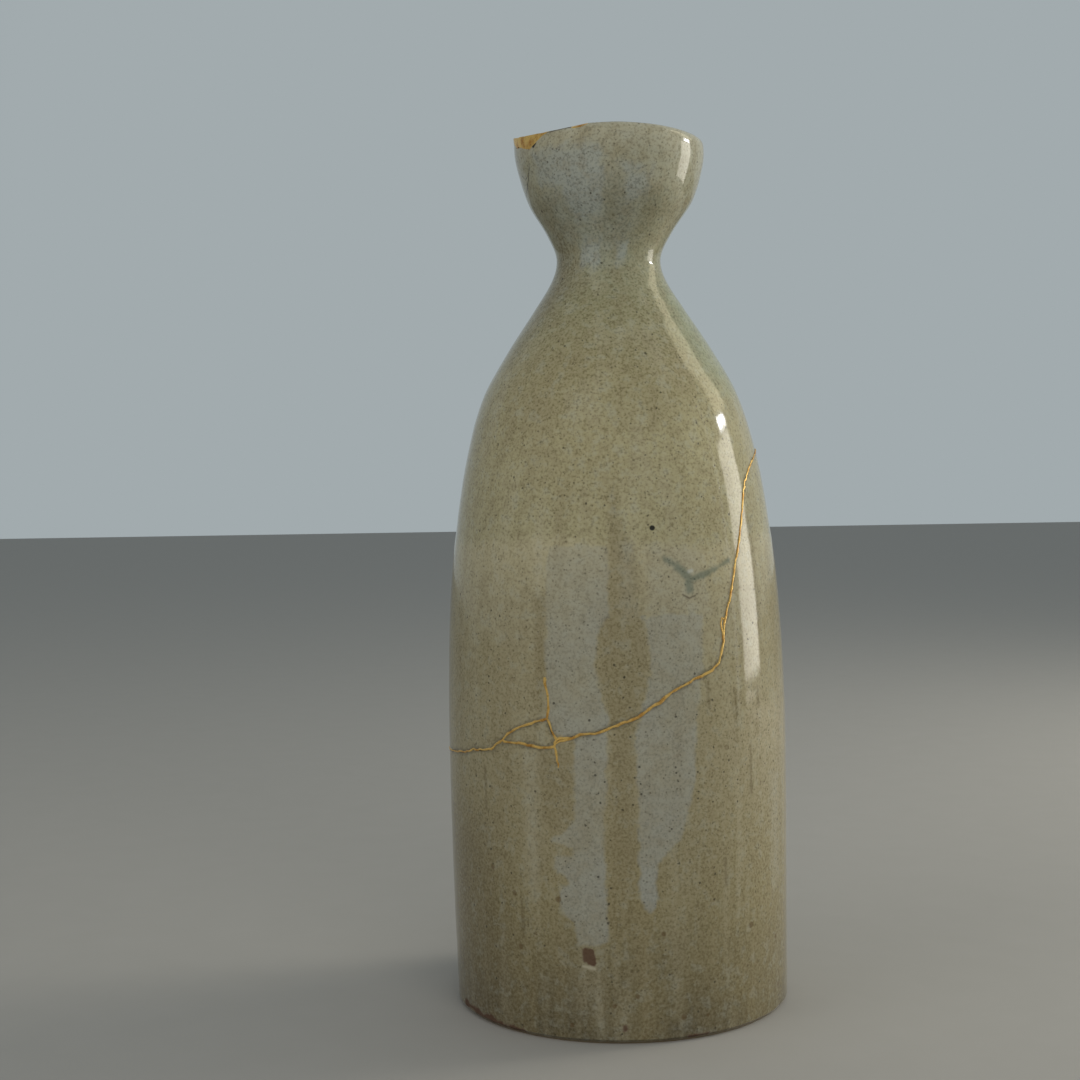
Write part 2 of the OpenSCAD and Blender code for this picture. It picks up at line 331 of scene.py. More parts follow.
def shape_by_hand(bm):
    square_the_lip(bm)
    for v in bm.verts:
        height = v.co.z / MM
        radius = math.hypot(v.co.x, v.co.y) / MM
        if radius < 1:
            continue
        around = Vector((v.co.x, v.co.y, 0)).normalized()
        grow = by_hand(around, height)
        if height < FOOT_EDGE and radius > FOOT_R - 4:
            worn = noise.noise(Vector((around.x * 9, around.y * 9, 3)))
            grow -= FOOT_WEAR * max(0.0, worn - 0.15) * (1 - height / FOOT_EDGE)
        dip = along(RIM_DIP, turn_of(v.co)) * smooth_step(*DIPPED, height)
        v.co += around * grow * MM
        v.co.x += along(AXIS_WANDER, height) * MM
        v.co.z -= dip * MM


shape_by_hand(pot)
print("axis wanders by up to", min(x for _, x in AXIS_WANDER), "mm")

# %% [markdown]
# ## Where it broke
#
# The break is a list of corners, each a turn and a height. It runs once round the bottle,
# low on the left and high on the right. A small chip sits in it left of the front, with one
# break under it and another over it, and two short cracks run on and stop. Between the
# corners a real break wavers, so the straight stretches are cut short and shaken a little,
# with noise that is the same each time.

# %% Where it broke
LEFT_OF_CHIP = [
    (-180, 118), (-171, 113), (-160, 107), (-149, 104), (-138, 95), (-126, 91), (-115, 84),
    (-103, 83), (-92, 79), (-80, 79.5), (-69.5, 80.5), (-60, 81.4), (-54.5, 83), (-49, 83.3),
    (-44.5, 84.1), (-41.8, 86.1), (-39.6, 87.2),
]
UNDER_CHIP = [
    (-38.4, 86.8), (-35, 86.8), (-32.5, 86.9), (-30.5, 86.7), (-28.3, 86.5), (-26, 86.3),
    (-23.7, 86.2), (-20.8, 86.3), (-19.9, 86.8), (-19.6, 88), (-18.8, 88.8),
]
OVER_CHIP = [
    (-37, 89.3), (-33.2, 91.2), (-30, 92.3), (-26.5, 93.4), (-22.1, 94.5), (-21.1, 92.4),
    (-20.7, 91), (-19.3, 89.2),
]
RIGHT_OF_CHIP = [
    (-14, 89.4), (-11, 90.3), (-6.6, 90.7), (-2.2, 92.3), (1.5, 93.5), (4.8, 94.5), (8.2, 95.9),
    (11.6, 98.2), (14.7, 99.9), (17.9, 102), (20.7, 103.2), (24.4, 104.7), (28.3, 106.2),
    (32.3, 107.6), (35.3, 109.5), (36.4, 112.2), (37.4, 115.8), (37.9, 119.2), (38.7, 122),
    (40.2, 125.3), (41.7, 128.3), (43, 132.1), (44.9, 136.8), (46.9, 140.9), (48.6, 144.3),
    (50.6, 148.4), (53, 153.2), (55.2, 158.1), (58, 162), (63.7, 165.8), (69.9, 168.3),
    (76.4, 170), (85, 171.5), (95, 170), (104, 165), (112, 162), (120, 153), (129, 148),
    (137, 139), (146, 136), (154, 128), (164, 125), (172, 119), (180, 118),
]
UPPER_SPUR = [(-22.1, 94.7), (-21.6, 97.5), (-21.8, 100.2), (-22.4, 103.6), (-22.9, 106.3)]
LOWER_SPUR = [(-19.9, 86.6), (-19.3, 84.6), (-18.9, 82.5), (-18.6, 80.5)]
MM_PER_DEGREE = 0.87
CRACK_STEP = 1.2
SHAKE = 0.16


def wavering(path, shake=SHAKE):
    """The path with its long stretches cut short, and every new point moved a little."""
    points = [path[0]]
    for (t0, z0), (t1, z1) in zip(path, path[1:]):
        length = math.hypot((t1 - t0) * MM_PER_DEGREE, z1 - z0)
        count = max(1, round(length / CRACK_STEP))
        for i in range(1, count + 1):
            turn = t0 + (t1 - t0) * i / count
            height = z0 + (z1 - z0) * i / count
            if i < count:
                spot = at(turn, 50, height) / MM * 0.45
                turn += shake * noise.noise(spot) / MM_PER_DEGREE
                height += shake * noise.noise(spot + Vector((31, 7, 2)))
            points.append((turn, height))
    return points


def wall_point(turn, height, lift=0.0):
    """A point on the finished outer wall, or lift millimetres off it."""
    grow = by_hand(at(turn, 1 / MM, 0), height)
    point = at(turn, outer_radius(height) + grow + lift, height)
    point.x += along(AXIS_WANDER, height) * MM
    return point


RING = wavering(LEFT_OF_CHIP + UNDER_CHIP + RIGHT_OF_CHIP)
OVER = wavering(LEFT_OF_CHIP[-1:] + OVER_CHIP + [UNDER_CHIP[-1]])
PAST_THE_RING = ((-40.2, 86.8), (-18.2, 88.3))
print(f"the ring has {len(RING)} points, the break over the chip {len(OVER)}")

# %% [markdown]
# ## Cutting the sherds
#
# A saw blade is made for each break: the path is a chain of edges inside the pot, extruded
# once and scaled outwards until it passes through the wall, then given the thickness of the
# seam with a Solidify modifier. Subtracting the blades leaves the sherds as separate islands
# in one mesh. A boolean is the right tool, since the break has to be the same on both sides.

# %% Cutting the sherds
SEAM = 0.6
CORE_R = 33.0
BLADE_R = 60.0


def new_vertices(grown):
    return [v for v in grown["geom"] if isinstance(v, bmesh.types.BMVert)]


def ribbon(points, closed=False):
    """A chain of edges through points, extruded once, and the vertices of its new edge."""
    bm = bmesh.new()
    verts = [bm.verts.new(point) for point in points]
    ends = verts[1:] + verts[:1] if closed else verts[1:]
    edges = [bm.edges.new(pair) for pair in zip(verts, ends)]
    grown = bmesh.ops.extrude_edge_only(bm, edges=edges)
    return bm, new_vertices(grown)


def settle(made):
    """Applies the modifiers of an object to its mesh."""
    shown = made.evaluated_get(bpy.context.evaluated_depsgraph_get())
    mesh = bpy.data.meshes.new_from_object(shown)
    made.modifiers.clear()
    old = made.data
    made.data = mesh
    bpy.data.meshes.remove(old)
    return made


def thickened(bm, name, thickness):
    """An object from a sheet without thickness, with half of the thickness on each side."""
    bmesh.ops.recalc_face_normals(bm, faces=bm.faces)
    made = to_object(bm, name)
    wall = made.modifiers.new("thickness", "SOLIDIFY")
    wall.thickness = thickness * MM
    wall.offset = 0
    return settle(made)


def blade(path, name, closed):
    """A thin wall that stands across the pot's wall, along a path."""
    points = path[:-1] if closed else path
    bm, outside = ribbon([at(turn, CORE_R, height) for turn, height in points], closed)
    bmesh.ops.scale(bm, verts=outside, vec=(BLADE_R / CORE_R, BLADE_R / CORE_R, 1))
    for v in bm.verts:
        v.co.x += along(AXIS_WANDER, v.co.z / MM) * MM
    return thickened(bm, name, SEAM)


def cut(made, tools, operation="DIFFERENCE"):
    for tool in tools:
        step = made.modifiers.new("cut", "BOOLEAN")
        step.operation = operation
        step.solver = "EXACT"
        step.object = tool
        settle(made)
    return made


def discard(*tools):
    for tool in tools:
        bpy.data.objects.remove(tool)


pot_object = to_object(pot, "pot")
ring_blade = blade(RING, "ring_blade", closed=True)
over_path = [PAST_THE_RING[0]] + OVER + [PAST_THE_RING[1]]
over_blade = blade(over_path, "over_blade", closed=False)
cut(pot_object, [over_blade, ring_blade])
discard(ring_blade, over_blade)
print(f"after the cuts the pot has {len(pot_object.data.polygons)} faces")

# %% [markdown]
# ## Sorting the sherds
#
# The cut pot is still one mesh with three loose islands. Walking from face to face over
# shared edges finds each island, and each goes into an object of its own. The lower sherd is
# the big one that stands on the floor, and the chip is the smallest.

# %% Sorting the sherds
def find_islands(bm):
    """The separate pieces of a mesh, as lists of faces, the largest first."""
    left = set(bm.faces)
    found = []
    while left:
        island = [left.pop()]
        for face in island:
            near = {f for e in face.edges for f in e.link_faces} & left
            left -= near
            island += near
        found.append(island)
    return sorted(found, key=len, reverse=True)


def take_island(made, number, name):
    """A new object that holds only one island of made."""
    bm = bmesh.new()
    bm.from_mesh(made.data)
    others = find_islands(bm)
    others.pop(number)
    bmesh.ops.delete(bm, geom=[f for island in others for f in island], context="FACES")
    return to_object(bm, name)


sherds = [take_island(pot_object, number, f"sherd_{number}") for number in range(3)]
discard(pot_object)
sherds[:2] = sorted(sherds[:2], key=lambda made: min(v.co.z for v in made.data.vertices))
lower_sherd, upper_sherd, chip_sherd = sherds
lower_sherd.name = "glazed_lower_sherd"
upper_sherd.name = "glazed_upper_sherd"
chip_sherd.name = "glazed_chip"
for made in sherds:
    print(made.name, len(made.data.polygons), "faces")

# %% [markdown]
# ## What is missing from the lip
#
# A piece of the lip is lost on the left, and a small flake further round. The mender built
# them up with putty and laid gold over it. A wedge is made from the line where the loss ends,
# given as turns and depths below the top. The sherd loses the wedge, and a ring with the
# lip's own section, shaped by the same hand, keeps only the wedge, so the fill fits the
# hole exactly.

# %% What is missing from the lip
LIP_LOSS = [
    (-90, -1), (-88, 0.3), (-84, 1.2), (-80, 2.4), (-76, 3.6), (-72, 4.8), (-66, 4.9), (-58, 6.1),
    (-54.5, 6.5), (-52.5, 5.9), (-50, 5.3), (-47.5, 4.5), (-44.5, 3.6), (-42, 2.9), (-39.5, 2.1),
    (-37.5, 1.2), (-36.5, -1),
]
RIM_LOSS = [(-25, -1), (-24, 1.7), (-21, 2.3), (-17.5, 2.1), (-13.5, 1.4), (-12.2, -1)]
LOSS_SHAKE = 0.3
WEDGE_R = 40
WEDGE_TOP = HEIGHT + 5
LIP_RING = 14


def wedge(loss, inner, name):
    """A solid over the line of a loss, from one radius out past the lip."""
    path = wavering([(turn, HEIGHT - depth) for turn, depth in loss], LOSS_SHAKE)
    bm, outside = ribbon([at(turn, inner, height) for turn, height in path])
    bmesh.ops.scale(bm, verts=outside, vec=(WEDGE_R / inner, WEDGE_R / inner, 1))
    for v in new_vertices(bmesh.ops.extrude_face_region(bm, geom=bm.faces[:])):
        v.co.z = WEDGE_TOP * MM
    bmesh.ops.recalc_face_normals(bm, faces=bm.faces)
    return to_object(bm, name)


def lip_ring(name):
    """A ring with the section of the lip."""
    section = [p for p in pot_section() if p[1] > HEIGHT - LIP_RING and p[0] > NECK_R]
    ring = turned(section + section[:1])
    shape_by_hand(ring)
    return to_object(ring, name)


lip_wedge = wedge(LIP_LOSS, 18, "lip_wedge")
rim_wedge = wedge(RIM_LOSS, LIP_MID_R + 0.4, "rim_wedge")
lip_fill = cut(lip_ring("gold_lip"), [lip_wedge], "INTERSECT")
rim_fill = cut(lip_ring("gold_rim_patch"), [rim_wedge], "INTERSECT")
cut(upper_sherd, [lip_wedge, rim_wedge])
discard(lip_wedge, rim_wedge)
print(f"the lip fill has {len(lip_fill.data.polygons)} faces")

# %% [markdown]
# ## Gold over putty
#
# The gold on the lip is a thin skin over putty, with the small lumps that a brush leaves.
# The putty is the fill made smaller by the thickness of the skin. Where the fill is thin, a
# ray sent inwards from each point says how thin, and the skin takes only a share of that.
# The skin is the fill's surface with the putty's surface inside it, turned inside out, so it
# is a closed shell with a wall.

# %% Gold over putty
GOLD_SKIN = 0.35
GOLD_LUMPS = 0.09
LUMPS_PER_MM = 0.7
SKIN_SHARE = 0.3


def edit(made, change):
    """Runs a change on the bmesh of an object."""
    bm = bmesh.new()
    bm.from_mesh(made.data)
    change(bm)
    bm.to_mesh(made.data)
    bm.free()


def lumps(bm):
    bm.normal_update()
    for v in bm.verts:
        v.co += v.normal * GOLD_LUMPS * noise.noise(v.co / MM * LUMPS_PER_MM) * MM


def shrink(bm):
    bm.normal_update()
    solid = bvhtree.BVHTree.FromBMesh(bm)
    moves = []
    for v in bm.verts:
        through = solid.ray_cast(v.co - v.normal * 1e-6, -v.normal)[3] or 1.0
        moves.append((v, v.normal * min(GOLD_SKIN * MM, SKIN_SHARE * through)))
    for v, move in moves:
        v.co -= move


edit(lip_fill, lumps)
lip_putty = new_object("lip_putty_core", lip_fill.data.copy())
edit(lip_putty, shrink)


def add_inner_wall(bm):
    outside = set(bm.faces)
    bm.from_mesh(lip_putty.data)
    bmesh.ops.reverse_faces(bm, faces=[f for f in bm.faces if f not in outside])


gold_lip = lip_fill
edit(gold_lip, add_inner_wall)
print("gold lip", len(gold_lip.data.polygons), "faces; putty", len(lip_putty.data.polygons))

# %% [markdown]
# ## Lacquer in the cracks
#
# Lacquer glues the sherds, so a thin sheet of it fills each break right through the wall. It
# is made like the saw blade, but each of its edges lies on the wall: the chain starts just
# under the glaze, and the extruded edge is moved in to the inner wall.

# %% Lacquer in the cracks
LACQUER = 0.5
UNDER_THE_GLAZE = 0.15
SHORT_OF_INSIDE = 0.1


def lacquer_sheet(path, name, closed):
    points = path[:-1] if closed else path[1:-1]
    bm, inside = ribbon([wall_point(turn, z, -UNDER_THE_GLAZE) for turn, z in points], closed)
    for v in inside:
        height = v.co.z / MM
        x = v.co.x - along(AXIS_WANDER, height) * MM
        radius = outer_radius(height) - along(WALL, height) * math.hypot(1, rise_at(height))
        share = (radius + SHORT_OF_INSIDE) / (math.hypot(x, v.co.y) / MM)
        v.co.x += x * (share - 1)
        v.co.y *= share
    return thickened(bm, name, LACQUER)


ring_lacquer = lacquer_sheet(RING, "lacquer_in_the_ring", closed=True)
chip_lacquer = lacquer_sheet(OVER, "lacquer_over_the_chip", closed=False)
print("lacquer sheets:", len(ring_lacquer.data.polygons), len(chip_lacquer.data.polygons))

# %% [markdown]
# ## Gold lines
#
# The last coat of lacquer is painted over the seam with a fine brush, and gold dust is
# dropped on it while it is wet. It stands a little proud, with a rounded back, and its width
# changes with the brush. A curve with a round bevel gives the bead, with a radius at each
# point. Then the bead becomes a mesh, and its points are pressed towards the wall.

# %% Gold lines
LINE_HALF = 0.37
LINE_VARY = 0.4
LINE_JITTER = 0.4
JITTER_PER_MM = 0.9
TAPER = 4
PRESSED = 0.62
SUNK = 0.16
BRUSH = [(-180, 0.9), (-90, 0.75), (-65, 0.62), (-50, 0.85), (-38, 0.95), (30, 1.08), (55, 1.0),
         (80, 0.9), (180, 0.9)]


def gold_bead(path, name, closed=False, taper=(1.0, 1.0), scale=1.0):
    """A bead of gold along a path; taper is the share of the width left at each end."""
    curve = bpy.data.curves.new(name, "CURVE")
    curve.dimensions = "3D"
    curve.bevel_depth = MM
    curve.bevel_resolution = 3
    curve.use_fill_caps = True
    points = path[:-1] if closed else path
    spline = curve.splines.new("POLY")
    spline.points.add(len(points) - 1)
    spline.use_cyclic_u = closed
    for i, (turn, height) in enumerate(points):
        spot = wall_point(turn, height)
        spot.x += LINE_JITTER * noise.noise(spot / MM * JITTER_PER_MM) * MM
        spot.z += LINE_JITTER * noise.noise(spot / MM * JITTER_PER_MM + Vector((9, 3, 5))) * MM
        share = i / (len(points) - 1)
        ends = min(1, taper[0] + share * TAPER, taper[1] + (1 - share) * TAPER)
        vary = 1 + LINE_VARY * (noise.noise(spot / MM * 0.5) + noise.noise(spot / MM * 1.3))
        spline.points[i].co = (*spot, 1)
        spline.points[i].radius = LINE_HALF * along(BRUSH, turn) * ends * vary * scale
    drawn = new_object(name, curve)
    shown = drawn.evaluated_get(bpy.context.evaluated_depsgraph_get())
    bm = bmesh.new()
    bm.from_mesh(shown.to_mesh())
    discard(drawn)
    bpy.data.curves.remove(curve)
    bmesh.ops.remove_doubles(bm, verts=bm.verts, dist=1e-7)
    for v in bm.verts:
        height = v.co.z / MM
        axis = Vector((along(AXIS_WANDER, height) * MM, 0, v.co.z))
        around = (v.co - axis).normalized()
        wall = outer_radius(height) + by_hand(around, height)
        lift = (v.co - axis).length / MM - wall
        lift = lift * PRESSED if lift > 0 else max(lift, -SUNK)
        v.co = axis + around * (wall + lift) * MM
    bmesh.ops.recalc_face_normals(bm, faces=bm.faces)
    return to_object(bm, name)


def joined(name, beads):
    """One object from several beads."""
    bm = bmesh.new()
    for made in beads:
        bm.from_mesh(made.data)
    discard(*beads)
    return to_object(bm, name)


SECOND_STRAND = [(-19.9, 86.6), (-19.2, 87.6), (-17.6, 88.2), (-15.5, 88.7), (-13, 89.5)]
SIDE_LOOP = [(37.6, 117), (37.0, 119), (36.9, 121), (37.4, 122.3), (38.5, 121.8)]
UPPER_BLOB = [(-22.8, 104.6), (-22.9, 106.0), (-22.95, 106.8)]
ring_gold = joined("gold_ring_line", [
    gold_bead(RING, "ring_bead", closed=True),
    gold_bead(wavering(SECOND_STRAND), "second_strand", scale=0.75),
    gold_bead(wavering(SIDE_LOOP), "side_loop", scale=0.8),
])
chip_gold = gold_bead(OVER, "gold_over_the_chip")
upper_gold = joined("gold_upper_spur", [
    gold_bead(wavering(UPPER_SPUR), "upper_bead", taper=(1, 0.8)),
    gold_bead(UPPER_BLOB, "upper_blob", taper=(0.6, 0.6), scale=1.5),
])
lower_gold = gold_bead(wavering(LOWER_SPUR), "gold_lower_spur", taper=(1, 0.35))
print("the ring line has", len(ring_gold.data.polygons), "faces")

# %% [markdown]
# ## Where the glazes ran
#
# Two glazes overlap here. A milky one ran down the front in strips with crisp sides and round
# ends, and between them the first glaze shows through, browner and darker. Each strip is an
# outline of turns and heights. The mesh stores how far each of its points is from the
# outlines, and is less than 0 inside. The material then cuts that distance with some noise,
# so an edge can be much finer than the mesh.

# %% Where the glazes ran
GLAZE_FIELDS = {
    "milky": [
        [(-22.4, 144.5), (-1.6, 144.5), (-1.8, 124), (-5.2, 120), (-6, 110), (-4.9, 103), (-2.6, 97),
         (-2.4, 92.6), (-8, 90.9), (-14, 89.8), (-19, 89.4), (-20.8, 92), (-22, 95), (-22.4, 110)],
        [(-13, 89), (-2.6, 92), (-3.2, 78), (-4.3, 66), (-4.4, 50), (-4.2, 30), (-13.9, 28.8),
         (-14.4, 35.5), (-17.2, 37), (-19.3, 41), (-18.8, 45.5), (-16.5, 47), (-17.2, 49.5),
         (-21.3, 51), (-20.6, 54), (-16.2, 55.2), (-14, 55.8), (-14, 57.4), (-17, 58), (-22, 58.8),
         (-20.5, 60.6), (-14.8, 63.4), (-13.2, 68), (-13.6, 80)],
        [(8.4, 124.5), (29.5, 124), (29, 108), (25.8, 92), (25.1, 76), (22.5, 66), (19.6, 59),
         (15, 55), (12.6, 53.6), (11.8, 48), (11.9, 42.5), (11, 39.5), (9.4, 38.6), (7.4, 40),
         (6.2, 43.5), (6.4, 60), (6, 90), (7.8, 97), (10.5, 103), (11.4, 112), (10.6, 120)],
    ],
    "faint_milky": [
        [(-30, 84), (-25.6, 84), (-25.8, 60), (-27, 42), (-29.5, 43.5)],
        [(3, 144), (6.3, 144), (6.1, 124), (3.3, 124)],
        [(11, 144), (30, 143), (33, 124), (10, 124)],
        [(-90, 60), (-84, 60), (-83, 30), (-89, 26)], [(60, 74), (66, 74), (67, 40), (61, 36)],
        [(112, 144), (126, 144), (125, 96), (121, 80), (114, 82), (111, 100)],
        [(150, 144), (166, 144), (165, 70), (160, 55), (153, 58), (151, 90)],
        [(-150, 144), (-128, 144), (-129, 84), (-134, 62), (-143, 60), (-149, 78)],
    ],
    "brown": [
        [(0.2, 163), (1.4, 163), (3, 152), (7.6, 143), (7.6, 128), (10.8, 122), (11.2, 111),
         (9.8, 102), (6.4, 95.5), (6, 88), (5.3, 80), (5.6, 60), (4.7, 31), (-2.8, 31), (-2.6, 60),
         (-1.8, 83), (-2.2, 95), (-4.9, 103), (-5.8, 112), (-5, 121), (-1.6, 126), (-1.6, 143)],
        [(-27, 131), (-22.6, 131), (-22.8, 96), (-25.5, 96), (-26.5, 112)],
        [(-25, 85.5), (-14, 87.6), (-14.1, 66), (-20, 61.5), (-24, 66)],
        [(-66, 44), (-60, 46), (-60, 20), (-65, 22)],
        [(40, 100), (43, 101), (42.5, 78), (40.5, 80)],
        [(51, 96), (52.8, 96), (52.4, 86), (51.2, 87)],
        [(53.5, 152), (58, 152), (57, 112), (54.4, 116)],
        [(128, 130), (135, 131), (134, 70), (130, 64)],
        [(-120, 120), (-112, 121), (-113, 66), (-118, 60)],
    ],
    "grey_cloud": [
        [(-56, 236), (-40, 233), (-12, 229), (14, 232), (24, 238), (20, 252), (0, 257), (-30, 256),
         (-52, 250)],
        [(120, 236), (160, 234), (176, 244), (150, 256), (118, 252)],
    ],
    "brown_cloud_and_painted_shade": [
        # the first brown cloud, low on the left front, is painted shade where that side turns from the
        # light; the others are browner glaze
        [(-100, -5), (-34, -5), (-36, 30), (-48, 62), (-100, 66)],
        [(-60, 206), (-30, 226), (-60, 240), (-80, 225)], [(110, -5), (170, -5), (160, 40), (120, 50)],
    ],
    "green_cloud": [
        [(44, 208), (60, 222), (100, 225), (112, 205), (92, 188), (62, 188), (50, 194)],
        [(-150, 200), (-120, 214), (-100, 205), (-118, 186), (-146, 184)],
    ],
    "cup_blue": [
        [(-52, 262), (-6, 263), (-4, 253), (-6, 243), (-30, 242), (-34, 250), (-52, 254)],
        [(10, 256), (28, 255), (27, 248), (12, 247)],
        [(-32, 235), (-8, 236), (-9, 229), (-30, 228)], [(8, 235), (20, 235), (19, 229), (9, 229)],
        [(120, 256), (140, 258), (146, 246), (124, 244)], [(-150, 254), (-124, 256), (-126, 244)],
    ],
    "cup_olive": [
        [(-64, 250), (-44, 246), (-46, 234), (-66, 232)], [(-4, 251), (5, 251), (6, 239), (-3, 240)],
        [(22, 251), (38, 251), (42, 238), (25, 237)], [(150, 250), (166, 250), (160, 234)],
        [(-116, 250), (-98, 248), (-104, 234)],
    ],
    "worn_rim": [[(-43, 267.2), (-38, 267.6), (-31, 267.6), (-24, 268.0), (-22, 272), (-43, 272)]],
}


def outline_distance(places, outline):
    """Millimetres from each place to an outline, less than 0 inside it."""
    corners = np.array([(turn * MM_PER_DEGREE, height) for turn, height in outline])
    nearest = np.full(len(places), np.inf)
    inside = np.zeros(len(places), bool)
    for a, b in zip(corners, np.roll(corners, -1, axis=0)):
        edge = b - a
        share = np.clip((places - a) @ edge / (edge @ edge), 0, 1)
        nearest = np.minimum(nearest, np.linalg.norm(places - a - share[:, None] * edge, axis=1))
        crosses = (a[1] > places[:, 1]) != (b[1] > places[:, 1])
        inside ^= crosses & (places[:, 0] < a[0] + (places[:, 1] - a[1]) * edge[0] / (edge[1] or 1))
    return np.where(inside, -nearest, nearest)


def store(made, name, values):
    field = made.data.attributes.new(name, "FLOAT", "POINT")
    field.data.foreach_set("value", np.asarray(values, np.float32))


gold_tree = kdtree.KDTree(len(RING) + len(OVER))
for i, (turn, height) in enumerate(RING + OVER):
    gold_tree.insert(wall_point(turn, height), i)
gold_tree.balance()
STAIN = 1.0
ROW_STEP = 0.5
ROWS = [FOOT_BEVEL + i * ROW_STEP for i in range(int((HEIGHT - FOOT_BEVEL) / ROW_STEP))]
ROW_RADII = [outer_radius(min(z, LIP_Z)) for z in ROWS]


def store_fields(made):
    """Stores the distances that the glaze needs on the points of one sherd."""
    points = np.empty(len(made.data.vertices) * 3, np.float32)
    made.data.vertices.foreach_get("co", points)
    points = points.reshape(-1, 3) / MM
    x = points[:, 0] - np.interp(points[:, 2], *zip(*AXIS_WANDER))
    turns = np.degrees(np.arctan2(x, -points[:, 1]))
    places = np.stack([turns * MM_PER_DEGREE, points[:, 2]], axis=1)
    for name, outlines in GLAZE_FIELDS.items():
        store(made, name, np.min([outline_distance(places, o) for o in outlines], axis=0))
    depth = np.interp(points[:, 2], ROWS, ROW_RADII) - np.hypot(x, points[:, 1])
    store(made, "depth", depth)
    store(made, "stain", [gold_tree.find(v.co)[2] / MM - STAIN for v in made.data.vertices])


for made in sherds:
    store_fields(made)
print("fields on each sherd:", list(GLAZE_FIELDS) + ["depth", "stain"])

# %% [markdown]
# ## Tools for materials
#
# One function turns the sRGB hex value of a colour, as a picture editor shows it, into the
# linear value that a shader works with. One more adds a node, sets it up and links it, so a
# material reads as a list of steps. The rest are steps that the materials share. A MapRange
# node's inputs are a value, then the low and high ends that it goes from and goes to.

# %% Tools for materials
def linear(hex_colour):
    """An sRGB hex colour as linear red, green, blue and alpha."""
    parts = [int(hex_colour[i:i + 2], 16) / 255 for i in (1, 3, 5)]
    return tuple(p / 12.92 if p <= 0.04045 else ((p + 0.055) / 1.055) ** 2.4 for p in parts) + (1.0,)


def adder(tree):
    """The function that adds a node to a tree.

    Its inputs go by place or by name: a socket, or a node's first output, is linked, and a
    plain value is set. A name in lower case is a setting of the node.
    """
    def add(kind, *inputs, **named):
        made = tree.nodes.new("ShaderNode" + kind)
        for name in [name for name in named if name.islower()]:
            setattr(made, name, named.pop(name))
        for key, value in [*enumerate(inputs), *named.items()]:
            value = value.outputs[0] if isinstance(value, bpy.types.Node) else value
            if isinstance(value, bpy.types.NodeSocket):
                tree.links.new(value, made.inputs[key])
            else:
                made.inputs[key].default_value = value
        return made
    return add


def new_material(name):
    """A material, what adds its nodes, and its object's own coordinates in millimetres."""
    material = bpy.data.materials.new(name)
    material.use_nodes = True
    material.node_tree.nodes.clear()
    add = adder(material.node_tree)
    place = add("TexCoord").outputs["Object"]
    return material, add, add("VectorMath", place, Scale=1 / MM, operation="SCALE")


def toned(add, colour, layers):
    """Lays tints over a colour, each more as its pattern goes from a low to a high value."""
    for pattern, tint, strength, *ends in layers:
        part = add("MapRange", pattern, *(ends or (0.0, 1.0)), 0.0, strength)
        colour = add("MixRGB", part, colour, linear(tint))
    return colour


def bumped(add, layers):
    """The normal input for a surface with bumps over bumps: patterns and depths in mm."""
    bent = {}
    for pattern, depth in layers:
        bent = {"Normal": add("Bump", Height=pattern, Distance=depth * MM, **bent)}
    return bent


def surface(add, colour, **sockets):
    """Ends a material: a shader with these sockets, and the output it goes to."""
    add("OutputMaterial", add("BsdfPrincipled", colour, **sockets))


# %% [markdown]
# ## Glazed stoneware
#
# Ash glaze over a sandy grey clay, dipped twice and fired until it melted. To the eye it is a
# greyish olive that is never even: iron in the clay comes through as small dark specks, the
# grain of the clay shows as a fine mottle, and where the glaze is thick it turns milky and
# blue. On top of all that the glass is clear and smooth, so it mirrors a window sharply.
# The material works in millimetres of the object, so each size below is a real size.

# %% Glazed stoneware: places and noises
GRAIN = 0.8
CLOUD = 28.0
MOTTLE = 3.4
EDGE_WAVE = 3.2
RUN_WIDTH = 7.0
RUN_STRETCH = (1, 1, 0.09)

glaze, add, mm = new_material("ash_glaze_on_stoneware")
height_mm = add("SeparateXYZ", mm).outputs["Z"]
streaked = add("VectorMath", mm, RUN_STRETCH, operation="MULTIPLY")
grain = add("TexNoise", mm, Scale=1 / GRAIN, Detail=3.0, Roughness=0.6)
cloud = add("TexNoise", mm, Scale=1 / CLOUD, Detail=4.0, Roughness=0.55)
wave = add("TexNoise", mm, Scale=1 / EDGE_WAVE, Detail=3.0)
mottle = add("TexNoise", mm, Scale=1 / MOTTLE, Detail=4.0, Roughness=0.6)
runs = add("TexNoise", streaked, Scale=1 / RUN_WIDTH, Detail=3.0)
print("noises in the glaze:", sum(n.bl_idname == "ShaderNodeTexNoise" for n in glaze.node_tree.nodes))


# %% Glazed stoneware: masks from the stored distances
# for each stored field: how soft its edge is and how far the noise moves it, in millimetres
EDGES = {
    "milky": (0.7, 3.0), "faint_milky": (2.5, 5.0), "brown": (1.7, 4.0), "grey_cloud": (7.0, 14.0),
    "green_cloud": (9.0, 14.0), "brown_cloud_and_painted_shade": (12.0, 14.0), "cup_blue": (2.6, 8.0),
    "cup_olive": (3.0, 8.0), "worn_rim": (0.3, 1.2), "stain": (0.5, 2.0),
}


def inside_of(distance, soft, waver):
    """1 inside an outline and 0 outside, over a soft edge that the noise moves about."""
    shift = add("Math", wave, 0.5, operation="SUBTRACT")
    moved = add("Math", shift, waver, distance, operation="MULTIPLY_ADD")
    return add("MapRange", moved, soft, -soft, interpolation_type="SMOOTHSTEP")


masks = {}
for name, edge in EDGES.items():
    stored = add("Attribute", attribute_name=name)
    masks[name] = inside_of(stored.outputs["Fac"], *edge)
print("masks:", len(masks))
